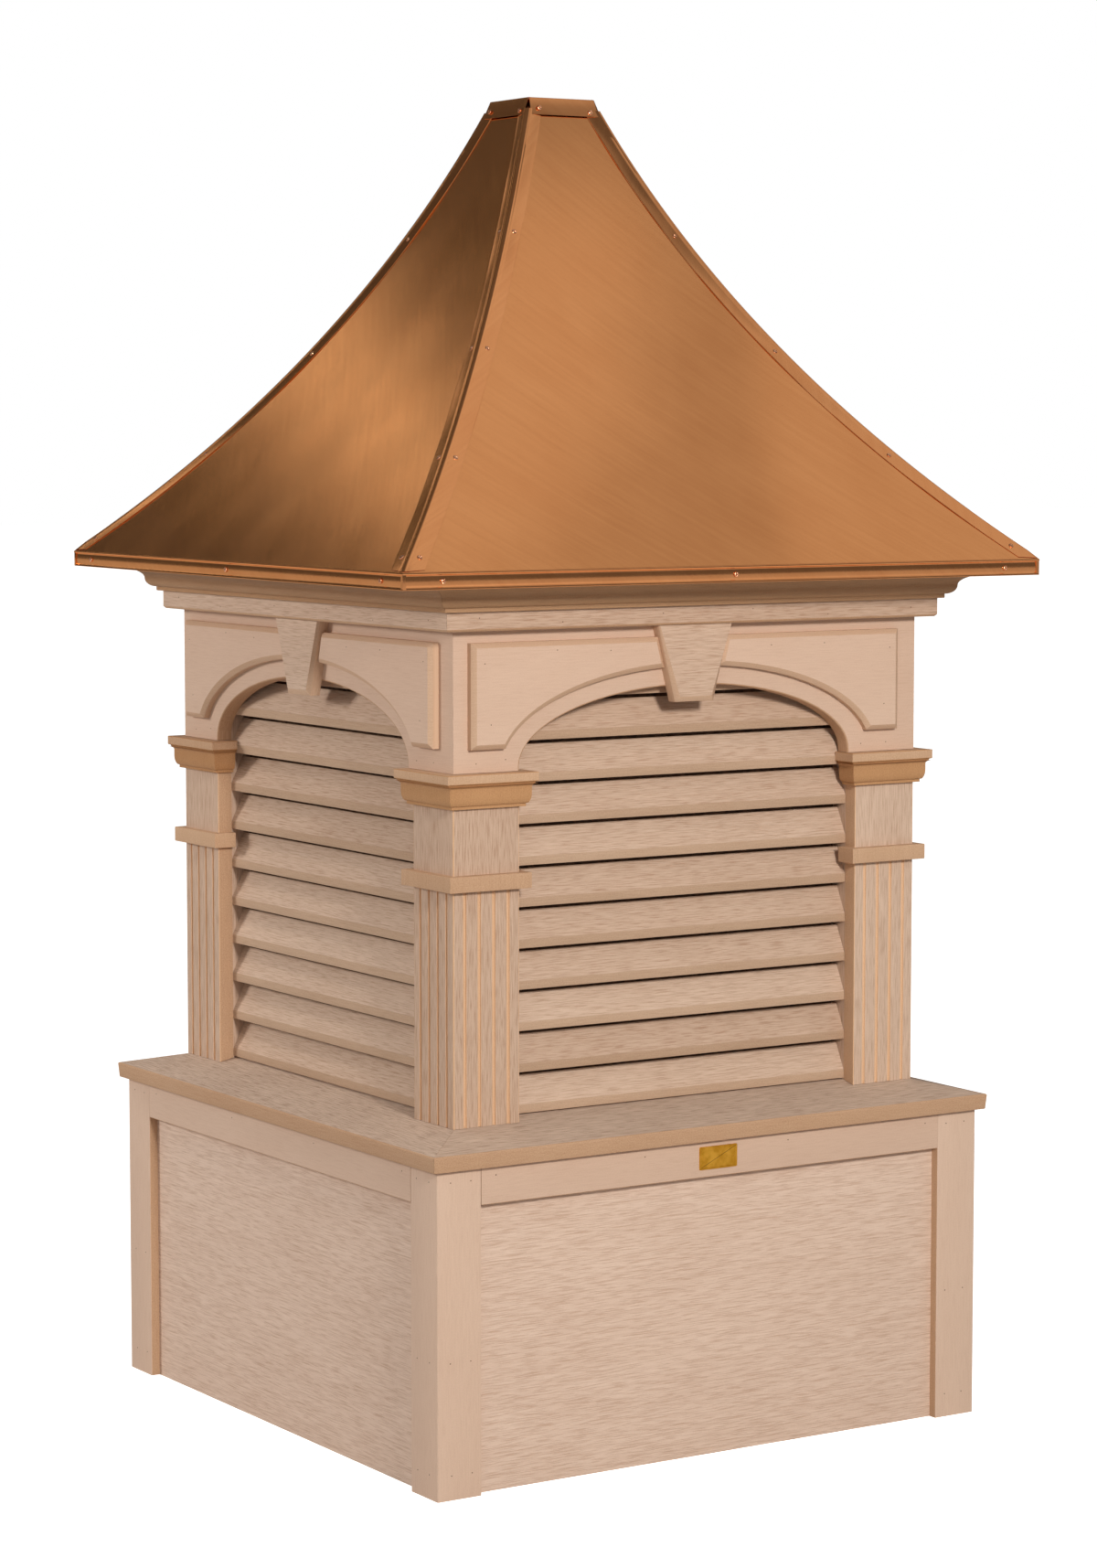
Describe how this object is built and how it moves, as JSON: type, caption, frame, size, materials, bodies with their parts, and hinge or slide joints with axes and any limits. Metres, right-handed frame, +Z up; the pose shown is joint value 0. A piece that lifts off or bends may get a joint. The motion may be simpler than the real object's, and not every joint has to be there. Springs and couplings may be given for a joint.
{
  "type": "cupola",
  "caption": "Square louvred roof cupola with boarded base, sloping sill, fluted corner pilasters, arched louvre openings with keystones, and a concave copper roof.",
  "frame": {"origin": "centre of the bottom edge of the base", "axes": "+Z up, -Y to the front face that carries the plate"},
  "size_m": [1.4256, 1.4256, 2.5484],
  "materials": {
    "grained_board": "unpainted, embossed wood grain",
    "smooth_board": "unpainted, smooth with faint grain",
    "machined_board": "machined, fine speckle",
    "copper": "new satin copper, brushed",
    "brass_plate": "satin"
  },
  "bodies": {
    "root": {"base_front_panel": "grained_board", "base_right_panel": "grained_board", "base_back_panel": "grained_board", "base_left_panel": "grained_board", "corner_board_front_left": "smooth_board", "corner_board_front_right": "smooth_board", "corner_board_back_right": "smooth_board", "corner_board_back_left": "smooth_board", "base_rails": "smooth_board", "sill_front": "grained_board", "sill_right": "grained_board", "sill_back": "grained_board", "sill_left": "grained_board", "pilaster_front_left": "grained_board", "pilaster_front_right": "grained_board", "pilaster_back_right": "grained_board", "pilaster_back_left": "grained_board", "neck_bands": "machined_board", "capitals": "machined_board", "louvre_frames": "grained_board", "louvres_front": "grained_board", "louvres_right": "grained_board", "louvres_back": "grained_board", "louvres_left": "grained_board", "arch_front": "smooth_board", "arch_right": "smooth_board", "arch_back": "smooth_board", "arch_left": "smooth_board", "spandrels_front": "smooth_board", "spandrels_right": "smooth_board", "spandrels_back": "smooth_board", "spandrels_left": "smooth_board", "keystones": "grained_board", "frieze": "grained_board", "crown_moulding": "grained_board", "soffit": "grained_board", "drip_edge": "copper", "roof_front": "copper", "roof_right": "copper", "roof_back": "copper", "roof_left": "copper", "hip_caps": "copper", "top_collar": "copper", "roof_cap": "copper", "name_plate": "brass_plate"}
  },
  "joints": []
}
